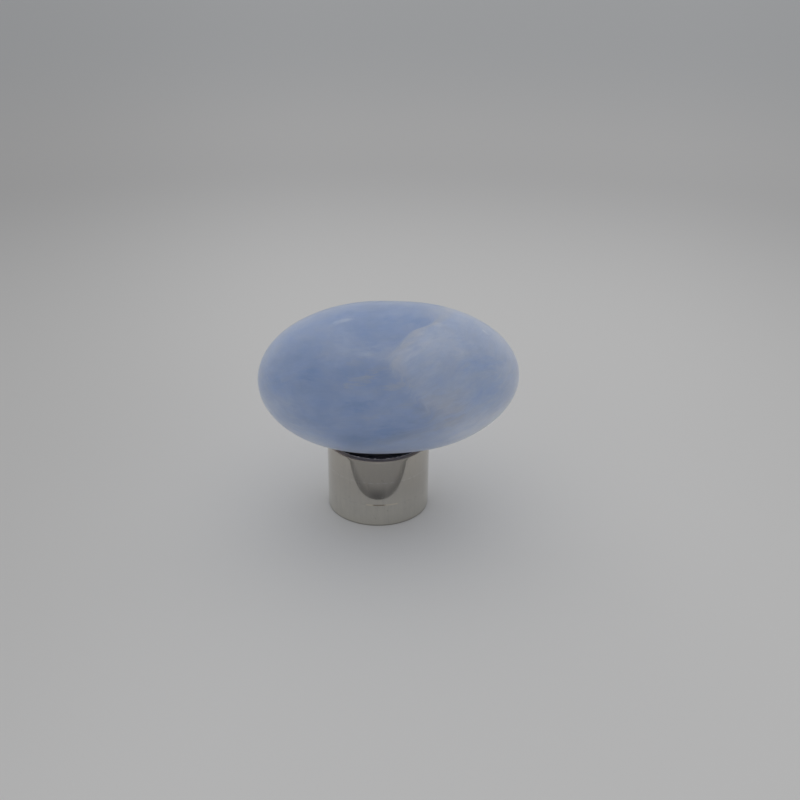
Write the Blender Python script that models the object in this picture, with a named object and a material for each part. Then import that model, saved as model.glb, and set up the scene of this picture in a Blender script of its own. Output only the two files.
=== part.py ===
"""Blue calcite shiva lingam: a polished stone lying across the mouth of a short metal tube.

The frame is in metres with +Z up. The origin is on the surface the stand rests on, straight
below the stone's middle. The stone's long axis runs along +X.
"""
from math import cos, hypot, pi, radians, sin, sqrt

import bmesh
import bpy
from mathutils import Matrix, Vector

# Stone, driving dimensions
STONE_LENGTH = 0.0688
STONE_DIAMETER = 0.0403
STONE_TILT = radians(2.5)

# Stone, form of its outline: 1.0 is a true ellipse, and a higher value has fuller shoulders
STONE_FULLNESS = 1.067
# Share of its radius by which the left end is fuller, and the right end leaner
STONE_EGG = 0.026

# Stand, driving dimensions
STAND_DIAMETER = 0.0280
STAND_WALL = 0.0015
STAND_HEIGHT = 0.0198
RIM_ROUNDING = 0.00015
FOOT_ROUNDING = 0.00015

# The stand's axis, seen from the stone's middle
STAND_OFFSET = Vector((-0.0027, 0.0024, 0.0))

# Air left between the stone and the rim that carries it
RESTING_GAP = 0.0003

# Fineness of the faceted solids
STONE_STEPS_ALONG = 42
STONE_STEPS_AROUND = 64
STAND_STEPS_AROUND = 72
ROUNDING_STEPS = 3

# Finishes: base colour, roughness, metallic
CALCITE_BLUE = ((0.45, 0.55, 0.79, 1.0), 0.35, 0.0)
POLISHED_STEEL = ((0.58, 0.56, 0.52, 1.0), 0.10, 1.0)


def clear_scene():
    """Take every object out of the scene."""
    for thing in list(bpy.data.objects):
        bpy.data.objects.remove(thing, do_unlink=True)


def finish_material(name, finish):
    """Principled material from a finish of base colour, roughness and metallic."""
    colour, roughness, metallic = finish
    material = bpy.data.materials.new(name)
    material.use_nodes = True
    shader = material.node_tree.nodes["Principled BSDF"]
    shader.inputs["Base Color"].default_value = colour
    shader.inputs["Roughness"].default_value = roughness
    shader.inputs["Metallic"].default_value = metallic
    return material


def turned_object(name, outline, closed, steps, material):
    """Body turned round +Z from an outline of (radius, height) points, wound to face outwards."""
    shape = bmesh.new()
    points = [shape.verts.new((radius, 0.0, height)) for radius, height in outline]
    followers = points[1:] + points[:1] if closed else points[1:]
    edges = [shape.edges.new(pair) for pair in zip(points, followers)]
    bmesh.ops.spin(
        shape,
        geom=points + edges,
        cent=(0.0, 0.0, 0.0),
        axis=(0.0, 0.0, 1.0),
        angle=2.0 * pi,
        steps=steps,
        use_merge=True,
    )
    bmesh.ops.remove_doubles(shape, verts=shape.verts, dist=1e-7)
    bmesh.ops.recalc_face_normals(shape, faces=shape.faces)
    mesh = bpy.data.meshes.new(name)
    shape.to_mesh(mesh)
    shape.free()
    mesh.materials.append(material)
    mesh.shade_smooth()
    mesh.set_sharp_from_angle(angle=radians(40.0))
    body = bpy.data.objects.new(name, mesh)
    bpy.context.collection.objects.link(body)
    return body


def stone_radius(along):
    """Radius of the stone at a place along its axis, measured from its middle to the right."""
    share = max(-1.0, min(1.0, 2.0 * along / STONE_LENGTH))
    round_share = sqrt(max(0.0, 1.0 - abs(share) ** (2.0 * STONE_FULLNESS)))
    return 0.5 * STONE_DIAMETER * round_share * (1.0 - STONE_EGG * share)


def stone_outline():
    """Outline of the stone from its right tip to its left tip, closest together at the tips."""
    turns = [pi * step / STONE_STEPS_ALONG for step in range(STONE_STEPS_ALONG + 1)]
    places = [0.5 * STONE_LENGTH * cos(turn) for turn in turns]
    outline = [(stone_radius(place), place) for place in places]
    outline[0] = (0.0, 0.5 * STONE_LENGTH)
    outline[-1] = (0.0, -0.5 * STONE_LENGTH)
    return outline


def stone_turn():
    """Rotation that lays the turned stone along +X and lifts its right end by the tilt."""
    return Matrix.Rotation(-STONE_TILT, 3, "Y") @ Matrix.Rotation(radians(90.0), 3, "Y")


def rounded_corner(radius, height, rounding, start):
    """Quarter round inside a square corner, from the angle start, going anticlockwise."""
    middle_radius = radius - rounding * (1.0 if cos(start + pi / 4.0) > 0.0 else -1.0)
    middle_height = height - rounding * (1.0 if sin(start + pi / 4.0) > 0.0 else -1.0)
    points = []
    for step in range(ROUNDING_STEPS + 1):
        turn = start + 0.5 * pi * step / ROUNDING_STEPS
        points.append((middle_radius + rounding * cos(turn), middle_height + rounding * sin(turn)))
    return points


def stand_outline():
    """Section through the stand's wall: flat foot, flat rim and four rounded edges."""
    outer = 0.5 * STAND_DIAMETER
    inner = outer - STAND_WALL
    section = rounded_corner(outer, 0.0, FOOT_ROUNDING, -0.5 * pi)
    section += rounded_corner(outer, STAND_HEIGHT, RIM_ROUNDING, 0.0)
    section += rounded_corner(inner, STAND_HEIGHT, RIM_ROUNDING, 0.5 * pi)
    section += rounded_corner(inner, 0.0, FOOT_ROUNDING, pi)
    return section


def stone_underside(x, y):
    """Height of the stone's lower surface over a point, measured from the stone's middle."""
    to_stone = stone_turn().transposed()
    above, below = 0.0, -STONE_DIAMETER
    for _ in range(40):
        height = 0.5 * (above + below)
        spot = to_stone @ Vector((x, y, height))
        if hypot(spot.x, spot.y) < stone_radius(spot.z) and abs(spot.z) < 0.5 * STONE_LENGTH:
            above = height
        else:
            below = height
    return 0.5 * (above + below)


def resting_height():
    """Height of the stone's middle when its underside is the resting gap above the rim."""
    heights = []
    for radius, height in stand_outline():
        if height < 0.5 * STAND_HEIGHT:
            continue
        for step in range(STAND_STEPS_AROUND):
            turn = 2.0 * pi * step / STAND_STEPS_AROUND
            spot = STAND_OFFSET + Vector((radius * cos(turn), radius * sin(turn), 0.0))
            heights.append(height - stone_underside(spot.x, spot.y))
    return max(heights) + RESTING_GAP


def build_stone(parent):
    """The calcite stone, lying along +X on the rim."""
    material = finish_material("calcite_blue", CALCITE_BLUE)
    stone = turned_object("lingam_stone", stone_outline(), False, STONE_STEPS_AROUND, material)
    stone.matrix_world = Matrix.Translation((0.0, 0.0, resting_height())) @ stone_turn().to_4x4()
    stone.parent = parent
    return stone


def build_stand(parent):
    """The short tube that stands on end under the stone."""
    material = finish_material("polished_steel", POLISHED_STEEL)
    stand = turned_object("ring_stand", stand_outline(), True, STAND_STEPS_AROUND, material)
    stand.location = STAND_OFFSET
    stand.parent = parent
    return stand


def build_part():
    """Stand and stone under one empty at the origin."""
    clear_scene()
    origin = bpy.data.objects.new("lingam_origin", None)
    bpy.context.collection.objects.link(origin)
    build_stand(origin)
    build_stone(origin)


build_part()
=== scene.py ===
"""Looks of the blue calcite shiva lingam on its ring stand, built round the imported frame."""

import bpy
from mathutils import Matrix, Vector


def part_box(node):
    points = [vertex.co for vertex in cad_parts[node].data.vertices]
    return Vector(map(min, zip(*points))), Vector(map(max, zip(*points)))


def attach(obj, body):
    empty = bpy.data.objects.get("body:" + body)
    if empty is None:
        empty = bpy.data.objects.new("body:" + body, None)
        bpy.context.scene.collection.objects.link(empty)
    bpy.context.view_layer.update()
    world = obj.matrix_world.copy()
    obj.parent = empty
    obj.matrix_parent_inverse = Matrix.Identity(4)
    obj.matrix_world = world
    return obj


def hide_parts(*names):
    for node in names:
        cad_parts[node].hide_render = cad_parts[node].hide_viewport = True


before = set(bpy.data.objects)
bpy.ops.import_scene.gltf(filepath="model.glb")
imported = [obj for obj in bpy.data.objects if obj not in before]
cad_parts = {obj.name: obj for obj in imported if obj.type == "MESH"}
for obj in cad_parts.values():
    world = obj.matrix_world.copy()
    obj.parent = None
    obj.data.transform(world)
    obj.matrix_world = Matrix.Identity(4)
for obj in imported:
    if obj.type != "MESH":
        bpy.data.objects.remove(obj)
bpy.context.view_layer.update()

from math import atan2, cos, degrees, pi, radians, sin, sqrt

import bmesh
import bpy
from mathutils import Matrix, Vector, noise

# Lengths are in metres; a name that ends in _MM is in the millimetres that the materials work in
MM = 0.001

# Stone: the form of its outline and how it lies, as in the solid it stands for
STONE_TILT = radians(2.5)
STONE_FULLNESS = 1.067
STONE_EGG = 0.026
# The finished stone sits down on the rim, so it closes the solid's resting gap
STONE_SETTLE = 0.29 * MM
STONE_FACES_PER_SIDE = 96
# Hand polishing leaves slow waves: depth and length of each size of wave, all cut inwards
POLISH_WAVES = ((0.070 * MM, 15.0 * MM), (0.026 * MM, 6.5 * MM), (0.008 * MM, 2.4 * MM))
# They fade out on the underside, where the stone touches its stand: the heights in the stone's own
# frame at which they end and are full
WAVES_FADE = (-16.0 * MM, -11.0 * MM)
# Hand grinding left it a little fuller or flatter in places: place along in mm, angle upwards from
# the front in degrees, reach along in mm, reach round in degrees, and height
GROUND_PARTS = (
    (16, -62, 16, 34, 0.23 * MM), (4, 115, 11, 50, -0.19 * MM), (-20, 125, 9, 45, -0.11 * MM),
)

# Stand: a sawn and polished length of tube
WALL = 1.5 * MM
RIM_ROUNDING = 0.15 * MM
FOOT_ROUNDING = 0.15 * MM
CORNER_STEPS = 6
WALL_ROWS = 24
FLAT_ROWS = 4
STAND_STEPS_AROUND = 320
WALL_WAVER = 0.010 * MM
WALL_WAVER_LENGTH = 7.0 * MM
SAW_RIPPLE = 0.030 * MM
SAW_RIPPLE_LENGTH = 1.6 * MM
# The saw left a ragged burr on the rim's inner edge, which leans inwards. It covers about half of
# the edge, and more by its spread. The stone has pressed it flat at the left and right: shares of the
# way out along X at which that begins and is full
BURR = 0.26 * MM
BURR_LENGTH = 0.9 * MM
BURR_SPREAD = 0.15
BURR_LEAN = 0.5
BURR_PRESSED = (0.55, 0.80)

# Camera, as found from the photograph
FOCAL_PIXELS = 911.7
PHOTO_PIXELS = 800
CAMERA_PITCH = radians(25.39)
CAMERA_ROLL = radians(0.64)
CAMERA_PLACE = (0.00313, -0.2195, 0.13635)
CAMERA_SENSOR_MM = 36.0
CAMERA_CLIP = (0.01, 20.0)

# Soft studio light: what comes evenly from all round, and what each side adds to it. A side is a
# direction, the share of it at which its light begins, the share at which it is full, and its light
EVEN_LIGHT = 0.181
SIDE_LIGHTS = {
    "front": ((0.0, -1.0, 0.0), 0.0, 0.9, 0.072),
    "behind": ((0.0, 1.0, 0.0), 0.0, 0.9, 0.400),
    "above": ((0.0, 0.0, 1.0), 0.5, 1.0, 0.500),
    "left": ((-1.0, 0.0, 0.0), 0.0, 0.9, 0.172),
    "right": ((1.0, 0.0, 0.0), 0.0, 0.9, 0.092),
}
# The camera itself sees one even tone past the floor's edge
HORIZON_TONE = 0.29

# Floor: painted shade, as its tone falls in two steps with distance where the light falls off. The
# first goes by the distance in metres, and the second by one over it, so that it is slow far off
FLOOR_RADIUS = 20.0
FLOOR_SIDES = 96
FLOOR_NEAR = (0.80, 0.80, 0.80, 1.0)
FLOOR_MIDDLE = (0.610, 0.610, 0.615, 1.0)
FLOOR_FAR = (0.534, 0.545, 0.560, 1.0)
FLOOR_FIRST_FADE = (0.12, 0.49)
FLOOR_SECOND_FADE = (1.7, 0.40)
# More painted shade: it falls again towards each side. A slant is how far to the side a place lies,
# over its distance plus this length. Each loss has two slants and the share lost at each. Far off,
# part of it is left
FLOOR_SLANT_FROM = 0.22
FLOOR_SIDE_LOSSES = ((-0.45, -0.08, 0.18, 0.0), (0.25, 0.48, 0.0, 0.07))
FLOOR_LOSS_LEFT_FAR_OFF = 0.75
FLOOR_ROUGHNESS = 0.9
FLOOR_SHINE = 0.2

# Grey card in front of the stand, which shows in reflections alone: a sheet that puts a painted dark
# reflection into the middle of the tube. A dark band runs along its rear edge, with a spot in its
# middle: lengths in mm within which each is full, and by which it has gone
CARD_MIDDLE = (-0.0027, -0.0356, 0.0020)
CARD_WIDTH = 0.136
CARD_DEPTH = 0.028
CARD_TURN = 0.020
CARD_DARK = (0.25, 0.25, 0.26, 1.0)
CARD_GREY = (0.58, 0.58, 0.58, 1.0)
CARD_BAND_MM = (1.4, 7.0)
CARD_BAND_STRENGTH = 0.62
CARD_SPOT_MM = (1.5, 9.0)
CARD_SPOT_HALF_WIDTH_MM = (1.0, 15.0)

# Stone colours by tone, from its bluest parts to its milkiest
STONE_TONES = (
    (0.00, (0.270, 0.390, 0.655, 1.0)),
    (0.25, (0.345, 0.465, 0.735, 1.0)),
    (0.50, (0.425, 0.535, 0.780, 1.0)),
    (0.75, (0.520, 0.620, 0.835, 1.0)),
    (1.00, (0.625, 0.710, 0.900, 1.0)),
    (1.25, (0.720, 0.790, 0.950, 1.0)),
)
# Shares by which a warmth of 1 changes red, green and blue, and the stone's even warmth
WARMTH = (0.075, 0.000, -0.085)
EVEN_WARMTH = -0.05

# Where the blue left part ends and the paler right part begins: pairs of a height and a place along
# the stone, in its own frame, for its front, and how far both may reach each way
ZONE_EDGE_MM = (
    (-20.0, -24.0), (-10.0, -2.0), (-6.5, 6.0), (-3.0, 11.5), (0.0, 10.0), (3.0, 7.0),
    (6.0, 5.5), (11.5, 0.5), (14.0, 1.5), (15.8, 3.0), (16.9, 4.4), (17.6, 8.0), (19.0, 5.5),
    (21.0, 5.5),
)
ZONE_EDGE_REACH_MM = 30.0
# Further back the border lies further right, by a share of the depth from the front to the middle
ZONE_DRIFT = 0.35
ZONE_FRONT_MM = -18.0
ZONE_BACK_MM = 0.0
# Behind, it wanders: the length of its waves, then two depths and how far it goes at each
ZONE_WAVES_MM = (9.0, 9.0, 9.0)
ZONE_WANDER_MM = (-4.0, 8.0, 0.0, 22.0)
# The grain locks the two parts into each other, and the border is crisp over the shoulder and soft
# lower down: two heights, and the length at each. It is softer again low down, at the crown and
# behind: the direction in which that goes, where it begins and is full, and how much it adds
ZONE_LOCK_MM = (14.5, 8.0, 1.2, 6.0)
ZONE_WIDTH_MM = (15.8, 12.0, 0.70, 2.6)
ZONE_WIDER_MM = (("Z", 1.0, -7.0, 4.0), ("Z", 17.6, 18.8, 3.5), ("Y", 0.0, 8.0, 2.2))

# The grain rises a little to the right in the left part, and more in the right part. It turns from
# one to the other over this length each side of the border, and it wavers all over
LEFT_GRAIN_RISE = radians(2.0)
RIGHT_GRAIN_RISE = radians(17.0)
GRAIN_TURN_MM = 1.0
GRAIN_WAVER_MM = (16.0, 10.0, 8.0)
GRAIN_BEND_MM = 5.0
# Marks of the grain: their size along it, through it and across it, their detail, and their share
GRAIN_MARKS = {
    "streaks": ((6.5, 3.2, 1.4), 3.0, 0.13),
    "mottles": ((3.4, 2.0, 1.0), 2.0, 0.11),
    "fibres": ((2.6, 1.0, 0.36), 2.0, 0.17),
}
# Fine specks in the tone, and warm and cool tints that run with the grain
SPECK_MM = (0.25, 0.25, 0.25)
SPECK_SHARE = 0.13
TINT_MM = (4.6, 2.8, 1.9)
TINT_SHIFT = (7.3, 2.1, 5.9)
TINT_WARMTH = 1.2

# Soft clouds, here and on the tube: how many sizes of mark make them up, and how strong the fine are
CLOUD_DETAIL = 5.0
CLOUD_ROUGHNESS = 0.58
# Tone of each part of the stone, and the clouds in it: size, seed, the tones at which they begin and
# are full, and their share. The shape is how far they stretch along, through and across the grain
CLOUD_SHAPE = (1.7, 1.3, 1.0)
LEFT_TONE = 0.265
LEFT_CLOUDS = ((6.0, 3.0, 0.36, 0.64, 0.16), (9.0, 11.0, 0.48, 0.70, 0.12))
RIGHT_TONE = 0.68
RIGHT_CLOUDS = ((5.0, 17.0, 0.38, 0.62, 0.14),)
# Areas of the stone: where each begins and is full, by distance from its middle, by height, or by
# distance past the border
TIP_MM = (24.0, 34.0)
OUTER_MM = (8.0, 19.0)
CROWN_MM = (15.0, 19.5)
UPPER_MM = (2.0, 9.0)
LOW_MM = (2.0, -8.0)
BENEATH_MM = (-1.5, -11.0)
NEAR_EDGE_MM = (5.0, 0.8)
# What an area adds to the tone or to the warmth; the first is for the tone of the right part alone.
# Painted light: the tips and the lower outer parts are lightened, a painted glow at the stone's edges,
# and the crown and the middle of the underside are darkened, painted shade
LOW_EDGE_TONE = -0.16
AREA_TONES = {"tip": 0.22, "crown": -0.10, "painted glow beneath": 0.23, "painted shade beneath": -0.34}
AREA_WARMTHS = {"upper edge": 0.75, "low edge": 0.40, "painted shade beneath": 0.15}

# Marks that stand out on the stone, by kind. A kind has the tone and the warmth that it adds, what
# frays its edges and how far, then its marks: place along the stone, angle round it upwards from the
# front, half the length, half the width, and the rise to the right. In mm and degrees
STONE_MARKS = {
    "milky cloud": (0.20, 0.1, "mottles", 1.5, (
        # The milky cloud at -27 mm and -16 degrees, low on the left end, is a painted glow at that edge
        (-11, 46, 9, 6, 0), (0, 40, 7, 4.5, 0), (13, 48, 10, 6, 10), (-27, -16, 9, 9, 0),
        (24, -35, 11, 6, 10), (14, 67, 4.0, 1.2, 5), (18, 140, 9, 6, -10), (-16, 175, 10, 6, 10),
        (4, 215, 9, 6, 0),
    )),
    "white wisp": (0.42, 0.0, "mottles", 1.5, (
        (-10.5, 71.5, 3.8, 1.0, 11), (25, 75, 1.4, 0.5, -30),
        (-14, 150, 2.5, 0.8, 20), (29, 178, 2.8, 0.7, 65), (-23, 168, 2.6, 0.6, 15),
    )),
    "tan streak": (0.15, 0.80, "fibres", 3.4, (
        (-6, 22, 5.2, 1.6, 14), (2.5, 17, 4.6, 1.4, 10), (13, 165, 4.0, 1.2, 12),
        (-10, 160, 4.2, 1.3, 12), (-2, 196, 3.8, 1.1, 14), (28, 120, 4.0, 1.0, 60),
    )),
    "faint tan streak": (0.09, 0.45, "fibres", 3.4, (
        (-7, 35, 4.2, 1.2, 6), (-2.5, 29, 3.6, 1.2, 14), (5.5, 5, 3.2, 1.2, 10), (-4, -5, 5.4, 1.0, 6),
        (31, 215, 3.2, 0.9, 70), (-20, 192, 3.4, 1.1, 8),
    )),
    "deep blue cloud": (-0.13, -0.3, "mottles", 1.5, (
        (-9, 80, 6, 2, 5), (5, 70, 7, 2.5, 0), (-20, 27, 5, 2.5, 8), (-28, 18, 5, 4, 0),
        (-7, 4, 5, 2.5, 0), (0, -18, 7, 3, 5), (-6, 130, 7, 3, 10), (20, 185, 8, 3, 15),
        (31, 145, 6, 2.5, 10), (29, 235, 7, 2.5, 15),
        (-20, 140, 6, 2.5, 8), (-12, 188, 7, 2.5, 5), (-26, 205, 6, 3, 10), (-2, 170, 6, 2.5, 5),
    )),
    "blue band": (-0.08, -0.5, "mottles", 1.5, (
        (24, 35, 9, 2.8, 18), (25, 8, 9, 5, 8),
    )),
    "olive haze": (-0.07, 0.8, "mottles", 1.5, (
        (14, 0, 9, 6, 8), (15, -18, 6, 3, 0), (4, -26, 9, 3, 10), (-6, 205, 9, 4, 8), (6, 182, 8, 4, 10),
    )),
}
# How far from a mark's middle it is still full, as a share of its reach
MARK_CORE = 0.15

# Satin polish of the stone, rougher in a soft haze, with the grain's faint relief
POLISH_ROUGHNESS = 0.29
HAZE_ROUGHNESS = 0.05
HAZE = {"Size": 4.0, "Seed": 23.0, "Begins": 0.40, "Full": 0.66}
GRAIN_RELIEF = {"Strength": 0.08, "Distance": 0.02 * MM}
STONE_SURFACE = {
    "IOR": 1.58,
    "Sheen Weight": 0.5,
    "Sheen Roughness": 0.42,
    "Subsurface Weight": 0.6,
    "Subsurface Radius": (1.0, 1.1, 1.3),
    "Subsurface Scale": 2.0 * MM,
}

# Areas of the tube: the face that each is measured from, and the offsets upwards or outwards from
# that face at which it begins and is full
TUBE_AREAS_MM = {
    "sawn end": ("rim", -0.14, -0.06),
    "near rim": ("rim", -0.40, -0.15),
    "below rim": ("rim", -0.10, -0.30),
    "foot": ("foot", 0.45, 0.10),
    "upper wall": ("foot", 1.0, 13.0),
    "bore": ("bore", 0.10, 0.02),
    "inner edge": ("bore", 0.50, 0.25),
    "outer edge": ("outside", -0.34, -0.20),
    "outside": ("outside", -0.12, -0.06),
}
# The rim is painted lighter at its left and right, a painted highlight: distances from the middle at
# which that begins and is full
LIT_RIM_ENDS_MM = (6.0, 11.0)
# Colours of the wall at its foot and further up, brighter at the foot as a painted reflection, and
# of the sawn end, plain and at its left and right ends, painted lighter as a highlight
STEEL_AT_FOOT = (0.680, 0.660, 0.600, 1.0)
STEEL_HIGHER = (0.545, 0.515, 0.465, 1.0)
SAWN_PLAIN = (0.52, 0.43, 0.37, 1.0)
SAWN_PAINTED_LIT = (0.80, 0.64, 0.50, 1.0)
# What lies over them: its share where it is strongest, and its colour
STEEL_MARKS = {
    "smudges": (0.25, (0.50, 0.485, 0.46, 1.0)),
    "drawn grain": (0.13, (0.44, 0.42, 0.41, 1.0)),
    "scratches": (0.36, (0.32, 0.31, 0.30, 1.0)),
    # The foot's dark colour is painted contact shade along the bottom of the wall
    "foot": (0.60, (0.16, 0.145, 0.13, 1.0)),
    "bore": (1.0, (0.34, 0.32, 0.34, 1.0)),
    # The burr's light colour is a painted highlight on the real burr
    "burr": (1.0, (1.0, 0.93, 0.86, 1.0)),
    # The outer edge's dark colour is painted shade along the rim's outer rounding
    "outer edge": (1.0, (0.26, 0.23, 0.21, 1.0)),
}
# Share of the burr's painted highlight between its painted glints and on them, and of the outer
# edge's painted shade on the plain rim and at its painted lit ends
BURR_SHARES = (0.40, 1.0)
OUTER_EDGE_SHARES = (0.60, 0.25)

# Fine scratches: some drawn up the tube, and weaker ones wiped round it. Length and spacing are in
# mm, the width is a share of the spacing, and the share is how much of them shows
SCRATCHES_UP = {"Length": 7.0, "Spacing": 0.55, "Width": 0.05, "Share": 0.48}
SCRATCHES_ROUND = {"Length": 9.0, "Spacing": 0.8, "Width": 0.03, "Share": 0.42}
SCRATCHES_ROUND_STRENGTH = 0.6
SCRATCH_RELIEF = {"Strength": 0.15, "Distance": 0.03 * MM}
# How far a scratch sways, how often it breaks off, and how softly it does
SCRATCH_SWAY = 0.35
SCRATCH_BREAKS = 0.6
SCRATCH_BREAK_FADE = 0.12
# Soft smudges all over the tube, their size in mm
SMUDGES = {"Size": 5.0, "Seed": 5.0, "Begins": 0.42, "Full": 0.70}
# The drawn wall has a faint grain, and the burr has painted glints: size round and up the tube, and
# the tones at which they begin and are full
DRAWN_GRAIN_MM = (0.9, 14.0, 1.0)
DRAWN_GRAIN = (0.35, 0.70)
DRAWN_GRAIN_ROUGHNESS = 0.6
PAINTED_GLINTS_MM = (0.8, 2.0, 1.0)
PAINTED_GLINTS = (0.46, 0.60)

# Fine lines turned into the tube's wall: height, width, lightness, and how broken it is
TURNED_LINES_MM = ((13.15, 0.22, 0.72, 0.50), (6.45, 0.14, 0.36, 0.52))
TURNED_LINE_SHARE = 0.45
TURNED_LINE_FADE = 0.12
# A worn nick in the lower line, first its bright ends and then its dark middle: the angles round the
# tube at which each begins and ends, its share and its colour. It fades in and out over small angles
NICK_HEIGHT_MM = 6.45
NICK_HALF_WIDTH_MM = (0.30, 0.08)
NICK_FADES = (0.06, 0.08)
NICK_PARTS = (
    (radians(-14.0), radians(26.0), 0.52, (0.86, 0.78, 0.62, 1.0)),
    (radians(-6.0), radians(11.0), 0.80, (0.24, 0.20, 0.16, 1.0)),
)

# Roughness of the clean and of the smudged tube, and what its scratches, bore and rim add to it
STEEL_ROUGHNESS = (0.07, 0.11)
SCRATCH_ROUGHNESS = 0.12
BORE_ROUGHNESS = 0.25
RIM_ROUGHNESS = 0.42
# How far the metal is dulled on the plain sawn end and at its painted lit ends, and on the burr
SAWN_DULLNESS = (0.24, 0.54)
BURR_DULLNESS = 0.95

stone_low, stone_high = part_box("lingam_stone")
stand_low, stand_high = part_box("ring_stand")
STONE_MIDDLE = (stone_low + stone_high) / 2.0 - Vector((0.0, 0.0, STONE_SETTLE))
STONE_HALF_WIDTH = (stone_high.y - stone_low.y) / 2.0
# The box of the tilted stone is a little shorter than the stone itself
STONE_HALF_LENGTH = sqrt(
    ((stone_high.x - stone_low.x) / 2.0) ** 2 - (STONE_HALF_WIDTH * sin(STONE_TILT)) ** 2
) / cos(STONE_TILT)
stand_middle = (stand_low + stand_high) / 2.0
STAND_FOOT = Vector((stand_middle.x, stand_middle.y, 0.0))
STAND_RADIUS = (stand_high.x - stand_low.x) / 2.0
STAND_HEIGHT = stand_high.z


class Net:
    """Short way to add nodes to a material, world or group and to join them."""

    # Where a Mix node has its first value and its output, by the kind of value
    MIX_SOCKETS = {"FLOAT": (2, 0), "VECTOR": (4, 1), "RGBA": (6, 2)}

    def __init__(self, tree):
        self.tree = tree

    def add(self, kind, values=None, **settings):
        """A node of one kind; values go to its sockets, and a socket as a value is linked."""
        node = self.tree.nodes.new(kind)
        for name, setting in settings.items():
            setattr(node, name, setting)
        for name, value in (values or {}).items():
            self.feed(node.inputs[name], value)
        return node

    def feed(self, socket, value):
        """Links an output to a socket, or sets the socket's own value."""
        if isinstance(value, bpy.types.NodeSocket):
            self.tree.links.new(value, socket)
        else:
            socket.default_value = value

    def maths(self, operation, *values):
        """Output of a Math node."""
        node = self.add("ShaderNodeMath", operation=operation)
        for socket, value in zip(node.inputs, values):
            self.feed(socket, value)
        return node.outputs[0]

    def total(self, first, *terms):
        """Sum of a value and of pairs of a value and its share."""
        for value, share in terms:
            first = self.maths("MULTIPLY_ADD", value, share, first)
        return first

    def product(self, first, *others):
        """Values multiplied together."""
        for value in others:
            first = self.maths("MULTIPLY", first, value)
        return first

    def centred(self, tone):
        """A tone from 0 to 1, moved so that its middle is 0."""
        return self.maths("SUBTRACT", tone, 0.5)

    def vector(self, operation, *values):
        """Output of a Vector Math node."""
        node = self.add("ShaderNodeVectorMath", operation=operation)
        sockets = [node.inputs[0], node.inputs["Scale"]] if operation == "SCALE" else node.inputs
        for socket, value in zip(sockets, values):
            self.feed(socket, value)
        return node.outputs["Value" if operation in ("LENGTH", "DOT_PRODUCT") else "Vector"]

    def blend(self, share, first, second, kind="RGBA"):
        """Output of a Mix node, from first to second."""
        node = self.add("ShaderNodeMix", data_type=kind)
        start, output = self.MIX_SOCKETS[kind]
        self.feed(node.inputs[0], share)
        self.feed(node.inputs[start], first)
        self.feed(node.inputs[start + 1], second)
        return node.outputs[output]

    def ramp(self, value, low, high, start=0.0, end=1.0):
        """Value moved smoothly from start to end as it goes from low to high."""
        node = self.add(
            "ShaderNodeMapRange", interpolation_type="SMOOTHSTEP",
            values={"Value": value, "From Min": low, "From Max": high, "To Min": start, "To Max": end},
        )
        return node.outputs["Result"]

    def noise(self, place, detail=3.0, roughness=0.5, output="Fac"):
        """Output of a Noise node of scale 1, so its place sets the size of its marks."""
        node = self.add(
            "ShaderNodeTexNoise",
            values={"Vector": place, "Scale": 1.0, "Detail": detail, "Roughness": roughness},
        )
        return node.outputs[output]

    def stretched(self, place, lengths):
        """Place divided by a length along each axis."""
        return self.vector("DIVIDE", place, lengths)

    def parts(self, place):
        """X, Y and Z of a place."""
        return self.add("ShaderNodeSeparateXYZ", {"Vector": place}).outputs

    def joined(self, **parts):
        """Place with the given X, Y or Z."""
        return self.add("ShaderNodeCombineXYZ", parts).outputs[0]

    def mask(self, tree, values):
        """Mask that a shared group puts out for these values."""
        return self.add("ShaderNodeGroup", values, node_tree=tree).outputs["Mask"]


def new_material(name):
    """New material; returns it, its Principled shader and a Net."""
    material = bpy.data.materials.new(name)
    material.use_nodes = True
    return material, material.node_tree.nodes["Principled BSDF"], Net(material.node_tree)


def new_group(name, inputs):
    """Shared group that puts out a Mask; returns its tree, a Net, its inputs and its result."""
    tree = bpy.data.node_groups.new(name, "ShaderNodeTree")
    for label, value in inputs.items():
        kind = "NodeSocketVector" if isinstance(value, tuple) else "NodeSocketFloat"
        socket = tree.interface.new_socket(label, in_out="INPUT", socket_type=kind)
        socket.default_value = value
    tree.interface.new_socket("Mask", in_out="OUTPUT", socket_type="NodeSocketFloat")
    net = Net(tree)
    given = net.add("NodeGroupInput").outputs
    result = net.add("NodeGroupOutput").inputs["Mask"]
    return tree, net, given, result


def soft_clouds_group():
    """Cloudy mask: marks of one size, with the tone at which they begin and are full."""
    tree, net, given, result = new_group(
        "soft_clouds", {"Vector": (0.0, 0.0, 0.0), "Size": 1.0, "Seed": 0.0, "Begins": 0.4, "Full": 0.6}
    )
    sized = net.vector("SCALE", given["Vector"], net.maths("DIVIDE", 1.0, given["Size"]))
    shift = net.joined(X=given["Seed"], Y=given["Seed"])
    tone = net.noise(net.vector("ADD", sized, shift), CLOUD_DETAIL, CLOUD_ROUGHNESS)
    net.feed(result, net.ramp(tone, given["Begins"], given["Full"]))
    return tree


def soft_patch_group():
    """Mask of one soft patch round a middle, turned, with an edge frayed by any tone."""
    tree, net, given, result = new_group("soft_patch", {
        "Vector": (0.0, 0.0, 0.0), "Middle": (0.0, 0.0, 0.0), "Turn": (0.0, 0.0, 0.0),
        "Reach": (1.0, 1.0, 1.0), "Tone": 0.5, "Fray": 1.0, "Core": 0.3,
    })
    within = net.add(
        "ShaderNodeMapping", vector_type="TEXTURE",
        values={"Vector": given["Vector"], "Location": given["Middle"],
                "Rotation": given["Turn"], "Scale": given["Reach"]},
    ).outputs[0]
    frayed = net.total(net.vector("LENGTH", within), (net.centred(given["Tone"]), given["Fray"]))
    net.feed(result, net.ramp(frayed, 1.0, given["Core"]))
    return tree


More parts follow.
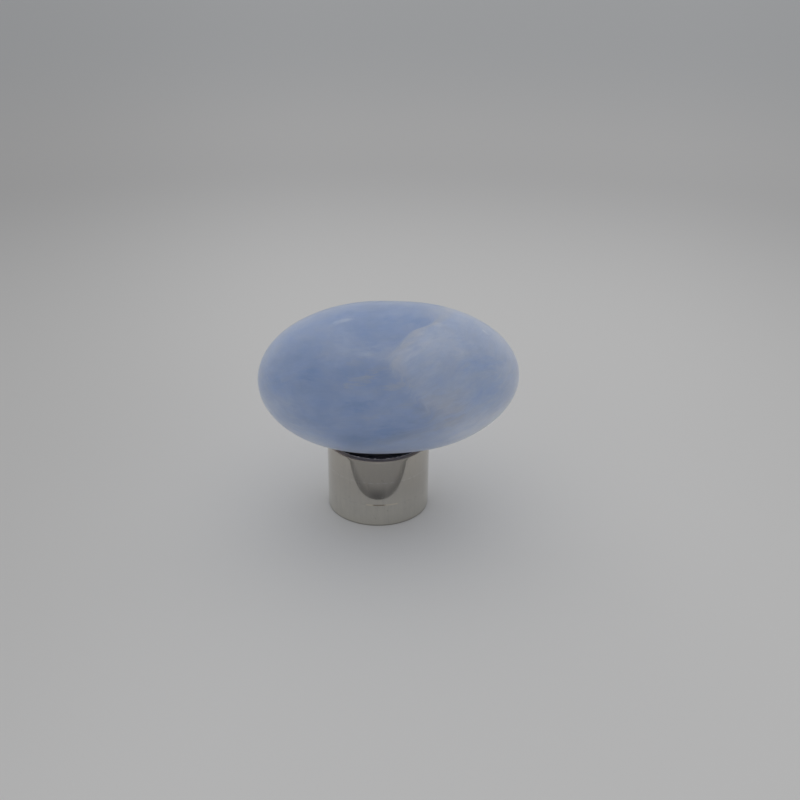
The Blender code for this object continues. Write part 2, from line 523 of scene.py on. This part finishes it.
def fine_scratches_group():
    """Thin broken scratches on a flat, unrolled place; they run along its first axis."""
    tree, net, given, result = new_group("fine_scratches", {
        "Vector": (0.0, 0.0, 0.0), "Length": 6.0, "Spacing": 0.6, "Width": 0.06, "Share": 0.4,
    })
    place = net.stretched(given["Vector"], net.joined(X=given["Length"], Y=given["Spacing"], Z=1.0))
    swayed = net.vector("ADD", place, net.vector("SCALE", net.noise(place, output="Color"), SCRATCH_SWAY))
    edge = net.add(
        "ShaderNodeTexVoronoi", feature="DISTANCE_TO_EDGE", voronoi_dimensions="2D",
        values={"Vector": swayed, "Scale": 1.0},
    ).outputs["Distance"]
    kept = net.noise(net.vector("SCALE", place, SCRATCH_BREAKS), detail=2.0)
    limit = net.maths("SUBTRACT", 1.0, given["Share"])
    shown = net.ramp(kept, limit, net.maths("ADD", limit, SCRATCH_BREAK_FADE))
    net.feed(result, net.product(net.ramp(edge, given["Width"], 0.0), shown))
    return tree


def mesh_object(name, shape, material):
    """Object made from a bmesh, smooth shaded."""
    mesh = bpy.data.meshes.new(name)
    shape.to_mesh(mesh)
    shape.free()
    mesh.materials.append(material)
    mesh.shade_smooth()
    piece = bpy.data.objects.new(name, mesh)
    bpy.context.scene.collection.objects.link(piece)
    return piece


def own_place(net, middle, turn=(0.0, 0.0, 0.0)):
    """Place in a piece's own frame, in millimetres."""
    place = net.add("ShaderNodeTexCoord").outputs["Object"]
    return net.add(
        "ShaderNodeMapping", vector_type="TEXTURE",
        values={"Vector": place, "Location": middle, "Rotation": turn, "Scale": (MM, MM, MM)},
    ).outputs[0]


def stone_radius(share):
    """Radius of the stone at a share of its half length, from -1 at its left tip to 1 at its right."""
    round_share = sqrt(max(0.0, 1.0 - abs(share) ** (2.0 * STONE_FULLNESS)))
    return STONE_HALF_WIDTH * round_share * (1.0 - STONE_EGG * share)


def zone_past(net, own, parts):
    """How far past the border of the paler right part a place on the stone is, in mm."""
    curve = net.add("ShaderNodeFloatCurve")
    line = curve.mapping.curves[0]
    span = 2.0 * ZONE_EDGE_REACH_MM
    points = [(0.5 + height / span, 0.5 + place / span) for height, place in ZONE_EDGE_MM]
    line.points[0].location = points[0]
    line.points[-1].location = points[-1]
    for point in points[1:-1]:
        line.points.new(*point)
    curve.mapping.update()
    net.feed(curve.inputs["Value"], net.maths("ADD", net.maths("DIVIDE", parts["Z"], span), 0.5))
    edge = net.product(net.centred(curve.outputs[0]), span)
    back = net.maths("SUBTRACT", net.maths("MINIMUM", parts["Y"], ZONE_BACK_MM), ZONE_FRONT_MM)
    past = net.maths("SUBTRACT", parts["X"], net.total(edge, (back, ZONE_DRIFT)))
    wander = net.centred(net.noise(net.stretched(own, ZONE_WAVES_MM), detail=2.0))
    return net.total(past, (wander, net.ramp(parts["Y"], *ZONE_WANDER_MM)))


def zone_mask(net, past, parts, streaks):
    """Mask of the paler right part: crisp over the shoulder, locked into the grain lower down."""
    jagged = net.total(past, (net.centred(streaks), net.ramp(parts["Z"], *ZONE_LOCK_MM)))
    width = net.ramp(parts["Z"], *ZONE_WIDTH_MM)
    for axis, begins, full, more in ZONE_WIDER_MM:
        width = net.total(width, (net.ramp(parts[axis], begins, full), more))
    return net.ramp(net.maths("DIVIDE", jagged, width), -1.0, 1.0)


def grain_place(net, own, past):
    """Place that runs with the stone's grain, which wavers and rises more in the right part."""
    waver = net.noise(net.stretched(own, GRAIN_WAVER_MM), detail=2.0, output="Color")
    bend = net.vector("SCALE", net.vector("SUBTRACT", waver, (0.5, 0.5, 0.5)), GRAIN_BEND_MM)
    bent = net.vector("ADD", own, bend)
    rises = [
        net.add("ShaderNodeMapping", {"Vector": bent, "Rotation": (0.0, rise, 0.0)}).outputs[0]
        for rise in (LEFT_GRAIN_RISE, RIGHT_GRAIN_RISE)
    ]
    return net.blend(net.ramp(past, -GRAIN_TURN_MM, GRAIN_TURN_MM), *rises, kind="VECTOR")


def stone_areas(net, past, parts, zone):
    """Masks of the stone's areas, by name."""
    near_edge = net.product(net.ramp(past, *NEAR_EDGE_MM), zone)
    from_middle = net.maths("ABSOLUTE", parts["X"])
    beneath = net.ramp(parts["Z"], *BENEATH_MM)
    painted_glow_beneath = net.product(beneath, net.ramp(from_middle, *OUTER_MM))
    return {
        # Painted light: glow at the tips and lower outer parts, shade on the crown and middle underside
        "tip": net.ramp(from_middle, *TIP_MM),
        "crown": net.ramp(parts["Z"], *CROWN_MM),
        "painted glow beneath": painted_glow_beneath,
        "painted shade beneath": net.maths("SUBTRACT", beneath, painted_glow_beneath),
        "upper edge": net.product(near_edge, net.ramp(parts["Z"], *UPPER_MM)),
        "low edge": net.product(near_edge, net.ramp(parts["Z"], *LOW_MM)),
    }


def stone_clouds(net, grain, kinds):
    """Pairs of a cloudy mask and its share of the tone."""
    place = net.stretched(grain, CLOUD_SHAPE)
    return [
        (net.mask(soft_clouds, {"Vector": place, "Size": size, "Seed": seed,
                                "Begins": begins, "Full": full}), share)
        for size, seed, begins, full, share in kinds
    ]


def stone_mark(net, own, tone, fray, along, up, half_length, half_width, rise):
    """Mask of one soft mark on the stone, from its place on the stone's form."""
    up, rise = radians(up), radians(rise)
    outwards = Vector((0.0, -cos(up), sin(up)))
    uphill = Vector((0.0, sin(up), cos(up)))
    lengthwise = cos(rise) * Vector((1.0, 0.0, 0.0)) + sin(rise) * uphill
    turn = Matrix((lengthwise, outwards.cross(lengthwise), outwards)).transposed().to_euler()
    middle = Vector((along, 0.0, 0.0)) + outwards * stone_radius(along * MM / STONE_HALF_LENGTH) / MM
    return net.mask(soft_patch, {"Vector": own, "Middle": middle, "Turn": turn,
                                 "Reach": (half_length, half_width, half_length),
                                 "Tone": tone, "Fray": fray, "Core": MARK_CORE})


def tone_colour(net, tone):
    """Colour of the stone for its tone."""
    colours = net.add("ShaderNodeValToRGB")
    stops = colours.color_ramp.elements
    while len(stops) < len(STONE_TONES):
        stops.new(0.5)
    highest = STONE_TONES[-1][0]
    for stop, (position, colour) in zip(stops, STONE_TONES):
        stop.position = position / highest
        stop.color = colour
    net.feed(colours.inputs["Fac"], net.maths("DIVIDE", tone, highest))
    return colours.outputs[0]


def calcite_material():
    """Cloudy, banded calcite: a bluer left part, a paler right part and milky patches."""
    material, shader, net = new_material("cloudy_blue_calcite")
    own = own_place(net, STONE_MIDDLE, (0.0, -STONE_TILT, 0.0))
    parts = net.parts(own)
    past = zone_past(net, own, parts)
    grain = grain_place(net, own, past)
    grain_marks = {
        name: net.noise(net.stretched(grain, size), detail=detail)
        for name, (size, detail, _) in GRAIN_MARKS.items()
    }
    tints = net.noise(net.vector("ADD", net.stretched(grain, TINT_MM), TINT_SHIFT))
    specks = net.noise(net.stretched(own, SPECK_MM), detail=1.0)
    zone = zone_mask(net, past, parts, grain_marks["streaks"])
    areas = stone_areas(net, past, parts, zone)
    marks = [
        (stone_mark(net, own, grain_marks[name], fray, *mark), more, warm)
        for more, warm, name, fray, kind in STONE_MARKS.values() for mark in kind
    ]

    left_tone = net.total(LEFT_TONE, *stone_clouds(net, grain, LEFT_CLOUDS))
    right_tone = net.total(
        RIGHT_TONE, *stone_clouds(net, grain, RIGHT_CLOUDS), (areas["low edge"], LOW_EDGE_TONE)
    )
    tone = net.total(
        net.blend(zone, left_tone, right_tone, kind="FLOAT"),
        *[(net.centred(grain_marks[name]), share) for name, (_, _, share) in GRAIN_MARKS.items()],
        (net.centred(specks), SPECK_SHARE),
        *[(areas[name], more) for name, more in AREA_TONES.items()],
        *[(mask, more) for mask, more, _ in marks],
    )
    warmth = net.total(
        EVEN_WARMTH,
        (net.centred(tints), TINT_WARMTH),
        *[(areas[name], warm) for name, warm in AREA_WARMTHS.items()],
        *[(mask, warm) for mask, _, warm in marks if warm],
    )
    colour = tone_colour(net, tone)
    tinted = net.vector("MULTIPLY_ADD", net.vector("SCALE", WARMTH, warmth), colour, colour)
    net.feed(shader.inputs["Base Color"], tinted)

    haze = net.mask(soft_clouds, {"Vector": own, **HAZE})
    net.feed(shader.inputs["Roughness"], net.total(POLISH_ROUGHNESS, (haze, HAZE_ROUGHNESS)))
    bump = net.add("ShaderNodeBump", {**GRAIN_RELIEF, "Height": grain_marks["fibres"]})
    net.feed(shader.inputs["Normal"], bump.outputs[0])
    for name, value in STONE_SURFACE.items():
        shader.inputs[name].default_value = value
    return material


def steel_material():
    """Polished tube: painted brighter towards its foot, with turned lines, fine scratches and sawn ends.
    """
    material, shader, net = new_material("polished_tube_steel")
    own = own_place(net, STAND_FOOT)
    parts = net.parts(own)
    radius = net.vector("LENGTH", net.joined(X=parts["X"], Y=parts["Y"]))
    outer_mm = STAND_RADIUS / MM
    # Angle round the tube: none at its front, and half a turn either way at its back
    angle = net.maths("ARCTAN2", parts["X"], net.product(parts["Y"], -1.0))
    around = net.product(angle, outer_mm)
    up_or_across = net.maths("ADD", parts["Z"], radius)
    unrolled = net.joined(X=around, Y=up_or_across)
    upright = net.joined(X=up_or_across, Y=around)

    faces = {
        "rim": (parts["Z"], STAND_HEIGHT / MM),
        "foot": (parts["Z"], 0.0),
        "bore": (radius, (STAND_RADIUS - WALL) / MM),
        "outside": (radius, outer_mm),
    }
    areas = {}
    for name, (face, begins, full) in TUBE_AREAS_MM.items():
        measure, start = faces[face]
        areas[name] = net.ramp(measure, start + begins, start + full)
    wall, near_rim, sawn_end = areas["outside"], areas["near rim"], areas["sawn end"]
    inside = net.product(areas["bore"], areas["below rim"])
    outer_edge = net.product(near_rim, areas["outer edge"])
    burr = net.product(near_rim, areas["inner edge"])
    lit_rim_ends = net.ramp(net.maths("ABSOLUTE", parts["X"]), *LIT_RIM_ENDS_MM)

    drawn = net.mask(fine_scratches, {"Vector": upright, **SCRATCHES_UP})
    wiped = net.mask(fine_scratches, {"Vector": unrolled, **SCRATCHES_ROUND})
    scratches = net.maths("MAXIMUM", drawn, net.product(wiped, SCRATCHES_ROUND_STRENGTH))
    smudges = net.mask(soft_clouds, {"Vector": own, **SMUDGES})
    drawn_grain = net.noise(net.stretched(unrolled, DRAWN_GRAIN_MM), roughness=DRAWN_GRAIN_ROUGHNESS)
    drawn_grain = net.ramp(drawn_grain, *DRAWN_GRAIN)
    painted_glints = net.ramp(net.noise(net.stretched(unrolled, PAINTED_GLINTS_MM)), *PAINTED_GLINTS)

    def off_height(height):
        """Distance from a height on the tube."""
        return net.maths("ABSOLUTE", net.maths("SUBTRACT", parts["Z"], height))

    def over(tone, name, mask):
        """Tone with one of the tube's marks laid over it."""
        share, colour = STEEL_MARKS[name]
        return net.blend(net.product(mask, share), tone, colour)

    # Painted reflection: the wall's colour is brighter towards its foot
    tone = net.blend(areas["upper wall"], STEEL_AT_FOOT, STEEL_HIGHER)
    tone = over(tone, "smudges", smudges)
    tone = over(tone, "drawn grain", drawn_grain)
    tone = over(tone, "scratches", scratches)
    for height, width, lightness, broken in TURNED_LINES_MM:
        breaks = net.noise(net.vector("ADD", unrolled, (height, 0.0, 0.0)), detail=2.0)
        kept = net.ramp(breaks, broken - TURNED_LINE_FADE, broken + TURNED_LINE_FADE)
        line = net.product(net.ramp(off_height(height), width, 0.0), wall, kept, TURNED_LINE_SHARE)
        tone = net.blend(line, tone, (lightness, lightness, lightness, 1.0))
    on_line = net.product(net.ramp(off_height(NICK_HEIGHT_MM), *NICK_HALF_WIDTH_MM), wall)
    for first, last, share, colour in NICK_PARTS:
        within = net.product(net.ramp(angle, first, first + NICK_FADES[0]),
                             net.ramp(angle, last, last - NICK_FADES[1]))
        tone = net.blend(net.product(on_line, within, share), tone, colour)
    # Painted contact shade: a dark line along the foot of the wall
    tone = over(tone, "foot", net.product(areas["foot"], wall))
    tone = over(tone, "bore", inside)
    # The sawn end, painted lighter at its left and right ends as a highlight
    tone = net.blend(sawn_end, tone, net.blend(lit_rim_ends, SAWN_PLAIN, SAWN_PAINTED_LIT))
    # Painted highlight along the inner burr, strongest at its painted glints
    tone = over(tone, "burr", net.product(burr, net.blend(painted_glints, *BURR_SHARES, kind="FLOAT")))
    # Painted shade: a dark line along the rim's outer edge, weaker at the lit ends
    edge_share = net.blend(lit_rim_ends, *OUTER_EDGE_SHARES, kind="FLOAT")
    tone = over(tone, "outer edge", net.product(outer_edge, edge_share))
    net.feed(shader.inputs["Base Color"], tone)

    rough = net.total(
        net.ramp(smudges, 0.0, 1.0, *STEEL_ROUGHNESS),
        (scratches, SCRATCH_ROUGHNESS), (inside, BORE_ROUGHNESS), (near_rim, RIM_ROUGHNESS),
    )
    net.feed(shader.inputs["Roughness"], rough)
    bump = net.add("ShaderNodeBump", {**SCRATCH_RELIEF, "Height": scratches}, invert=True)
    net.feed(shader.inputs["Normal"], bump.outputs[0])
    dull = net.product(sawn_end, net.blend(lit_rim_ends, *SAWN_DULLNESS, kind="FLOAT"))
    dull = net.maths("MAXIMUM", dull, net.product(burr, BURR_DULLNESS))
    net.feed(shader.inputs["Metallic"], net.maths("SUBTRACT", 1.0, dull))
    return material


def stone_form(direction):
    """Place on the stone's surface, in its own frame, for a direction from its middle."""
    across = Vector((0.0, direction.y, direction.z)).normalized()
    return Vector((STONE_HALF_LENGTH * direction.x, 0.0, 0.0)) + across * stone_radius(direction.x)


def smooth_share(value, low, high):
    """Share from 0 to 1, eased at both ends, of a value between two others."""
    share = max(0.0, min(1.0, (value - low) / (high - low)))
    return share * share * (3.0 - 2.0 * share)


def polish_depth(place):
    """How far hand polishing has cut below the even form at a place on the stone."""
    depth = 0.0
    for deepest, length in POLISH_WAVES:
        depth += deepest * (0.5 + 0.5 * noise.noise(place / length))
    return depth * smooth_share(place.z, *WAVES_FADE)


def hand_ground(place):
    """How far the hand-ground form stands above the even form at a place on the stone."""
    height = 0.0
    for along, up, reach, spread, extra in GROUND_PARTS:
        turn = (degrees(atan2(place.z, -place.y)) - up + 180.0) % 360.0 - 180.0
        off = sqrt(((place.x / MM - along) / reach) ** 2 + (turn / spread) ** 2)
        height += extra * (1.0 - smooth_share(off, 0.0, 1.0))
    return height


def build_stone():
    """The polished stone, with even faces all over."""
    shape = bmesh.new()
    bmesh.ops.create_cube(shape, size=2.0)
    bmesh.ops.subdivide_edges(
        shape, edges=shape.edges[:], cuts=STONE_FACES_PER_SIDE - 1, use_grid_fill=True
    )
    lie = Matrix.Translation(STONE_MIDDLE) @ Matrix.Rotation(-STONE_TILT, 4, "Y")
    for vert in shape.verts:
        # The tangent of each part keeps the faces even in size once the cube is rounded
        turned = Vector([sin(0.25 * pi * part) / cos(0.25 * pi * part) for part in vert.co])
        place = stone_form(turned.normalized())
        place += place.normalized() * (hand_ground(place) - polish_depth(place))
        vert.co = lie @ place
    piece = mesh_object("lingam_stone_finished", shape, calcite_material())
    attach(piece, "root")
    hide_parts("lingam_stone")


def rounded_corner(radius, height, rounding, start):
    """Quarter round inside a square corner, from the angle start, going anticlockwise."""
    middle_radius = radius - rounding * (1.0 if cos(start + pi / 4.0) > 0.0 else -1.0)
    middle_height = height - rounding * (1.0 if sin(start + pi / 4.0) > 0.0 else -1.0)
    points = []
    for step in range(CORNER_STEPS + 1):
        turn = start + 0.5 * pi * step / CORNER_STEPS
        points.append((middle_radius + rounding * cos(turn), middle_height + rounding * sin(turn)))
    return points


def straight_run(first, last, rows):
    """Points between two others, both left out, that part the run into rows."""
    return [
        (first[0] + (last[0] - first[0]) * row / rows, first[1] + (last[1] - first[1]) * row / rows)
        for row in range(1, rows)
    ]


def stand_section():
    """Section through the tube's wall as (radius, height) points, with rows for fine relief."""
    outer = STAND_RADIUS
    inner = outer - WALL
    corners = [
        rounded_corner(outer, 0.0, FOOT_ROUNDING, -0.5 * pi),
        rounded_corner(outer, STAND_HEIGHT, RIM_ROUNDING, 0.0),
        rounded_corner(inner, STAND_HEIGHT, RIM_ROUNDING, 0.5 * pi),
        rounded_corner(inner, 0.0, FOOT_ROUNDING, pi),
    ]
    section = []
    for corner, follower, rows in zip(
        corners, corners[1:] + corners[:1], (WALL_ROWS, FLAT_ROWS, WALL_ROWS, FLAT_ROWS)
    ):
        section += corner + straight_run(corner[-1], follower[0], rows)
    return section


def worn_tube_place(radius, height, turn):
    """Place of a point of the tube's section, with the tube's waver, saw ripple and inner burr."""
    around = Vector((cos(turn), sin(turn), 0.0))
    at = around * radius + Vector((0.0, 0.0, height))
    top = smooth_share(height, STAND_HEIGHT - 2.0 * RIM_ROUNDING, STAND_HEIGHT)
    inner = STAND_RADIUS - WALL
    inner_edge = 1.0 - smooth_share(radius, inner + RIM_ROUNDING, inner + 2.0 * RIM_ROUNDING)
    free = 1.0 - smooth_share(abs(cos(turn)), *BURR_PRESSED)
    ragged = max(0.0, noise.noise(at / BURR_LENGTH) + BURR_SPREAD)
    burr = BURR * top * inner_edge * free * ragged
    ripple = SAW_RIPPLE * top * (0.5 + 0.5 * noise.noise(at / SAW_RIPPLE_LENGTH))
    waver = WALL_WAVER * noise.noise(at / WALL_WAVER_LENGTH)
    return around * (radius + waver - BURR_LEAN * burr) + Vector((0.0, 0.0, height - ripple + burr))


def build_stand():
    """The polished tube, with the faint unevenness of a sawn and hand-finished length."""
    section = stand_section()
    shape = bmesh.new()
    rings = []
    for step in range(STAND_STEPS_AROUND):
        turn = 2.0 * pi * step / STAND_STEPS_AROUND
        rings.append([shape.verts.new(STAND_FOOT + worn_tube_place(*point, turn)) for point in section])
    for ring, next_ring in zip(rings, rings[1:] + rings[:1]):
        for row, next_row in zip(range(len(section)), [*range(1, len(section)), 0]):
            shape.faces.new((ring[row], next_ring[row], next_ring[next_row], ring[next_row]))
    piece = mesh_object("ring_stand_finished", shape, steel_material())
    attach(piece, "root")
    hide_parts("ring_stand")


def surround_light():
    """Soft light from all round: strong from behind and above, weak from the front."""
    world = bpy.data.worlds.new("soft_surround")
    world.use_nodes = True
    bpy.context.scene.world = world
    net = Net(world.node_tree)
    direction = net.add("ShaderNodeTexCoord").outputs["Generated"]
    glow = EVEN_LIGHT
    for side, begins, full, extra in SIDE_LIGHTS.values():
        share = net.vector("DOT_PRODUCT", direction, side)
        glow = net.maths("ADD", glow, net.ramp(share, begins, full, 0.0, extra))
    seen = net.add("ShaderNodeLightPath").outputs["Is Camera Ray"]
    backdrop = world.node_tree.nodes["Background"]
    backdrop.inputs["Color"].default_value = (1.0, 1.0, 1.0, 1.0)
    net.feed(backdrop.inputs["Strength"], net.blend(seen, glow, HORIZON_TONE, kind="FLOAT"))


def build_floor():
    """Plain pale floor with painted shade, darkening gently with distance and towards each side."""
    shape = bmesh.new()
    bmesh.ops.create_circle(shape, cap_ends=True, radius=FLOOR_RADIUS, segments=FLOOR_SIDES)
    material, shader, net = new_material("pale_floor")
    place = net.add("ShaderNodeNewGeometry").outputs["Position"]
    away = net.vector("LENGTH", place)
    tone = net.blend(net.ramp(away, *FLOOR_FIRST_FADE), FLOOR_NEAR, FLOOR_MIDDLE)
    far_off = net.ramp(net.maths("DIVIDE", 1.0, away), *FLOOR_SECOND_FADE)
    tone = net.blend(far_off, tone, FLOOR_FAR)
    slant = net.maths("DIVIDE", net.parts(place)["X"], net.maths("ADD", away, FLOOR_SLANT_FROM))
    left_over = net.total(1.0, (far_off, FLOOR_LOSS_LEFT_FAR_OFF - 1.0))
    for side_loss in FLOOR_SIDE_LOSSES:
        lost = net.product(net.ramp(slant, *side_loss), left_over)
        tone = net.vector("SCALE", tone, net.maths("SUBTRACT", 1.0, lost))
    net.feed(shader.inputs["Base Color"], tone)
    shader.inputs["Roughness"].default_value = FLOOR_ROUGHNESS
    shader.inputs["Specular IOR Level"].default_value = FLOOR_SHINE
    floor = mesh_object("floor", shape, material)


def build_card():
    """Grey card lying in front of the stand, seen in reflections alone, for a painted dark reflection."""
    shape = bmesh.new()
    bmesh.ops.create_grid(shape, x_segments=1, y_segments=1, size=0.5)
    bmesh.ops.scale(shape, vec=(CARD_WIDTH, CARD_DEPTH, 1.0), verts=shape.verts)
    material, shader, net = new_material("grey_card")
    place = net.parts(net.add("ShaderNodeTexCoord").outputs["Object"])
    depth = net.maths("DIVIDE", net.maths("SUBTRACT", 0.5 * CARD_DEPTH, place["Y"]), MM)
    aside = net.maths("DIVIDE", net.maths("ABSOLUTE", place["X"]), MM)
    band = net.product(net.ramp(depth, *reversed(CARD_BAND_MM)), CARD_BAND_STRENGTH)
    spot = net.product(net.ramp(depth, *reversed(CARD_SPOT_MM)),
                       net.ramp(aside, *reversed(CARD_SPOT_HALF_WIDTH_MM)))
    tone = net.blend(net.maths("MAXIMUM", band, spot), CARD_GREY, CARD_DARK)
    net.feed(shader.inputs["Base Color"], tone)
    shader.inputs["Roughness"].default_value = 1.0
    card = mesh_object("grey_card", shape, material)
    card.matrix_world = Matrix.Translation(CARD_MIDDLE) @ Matrix.Rotation(CARD_TURN, 4, "Z")
    card.visible_camera = False
    card.visible_diffuse = False
    card.visible_shadow = False
    card.visible_transmission = False


def build_camera():
    """Camera at the photograph's place, angle and field of view."""
    forward = Vector((0.0, cos(CAMERA_PITCH), -sin(CAMERA_PITCH)))
    level = Vector((1.0, 0.0, 0.0))
    upward = level.cross(forward)
    right = cos(CAMERA_ROLL) * level + sin(CAMERA_ROLL) * upward
    top = right.cross(forward)
    data = bpy.data.cameras.new("photo_camera")
    data.sensor_width = CAMERA_SENSOR_MM
    data.lens = FOCAL_PIXELS * CAMERA_SENSOR_MM / PHOTO_PIXELS
    data.clip_start, data.clip_end = CAMERA_CLIP
    camera = bpy.data.objects.new("photo_camera", data)
    bpy.context.scene.collection.objects.link(camera)
    turn = Matrix((right, top, -forward)).transposed().to_4x4()
    camera.matrix_world = Matrix.Translation(CAMERA_PLACE) @ turn
    bpy.context.scene.camera = camera


soft_clouds = soft_clouds_group()
soft_patch = soft_patch_group()
fine_scratches = fine_scratches_group()

bpy.context.scene.view_settings.view_transform = "Standard"
build_camera()
surround_light()
build_floor()
build_card()
build_stone()
build_stand()
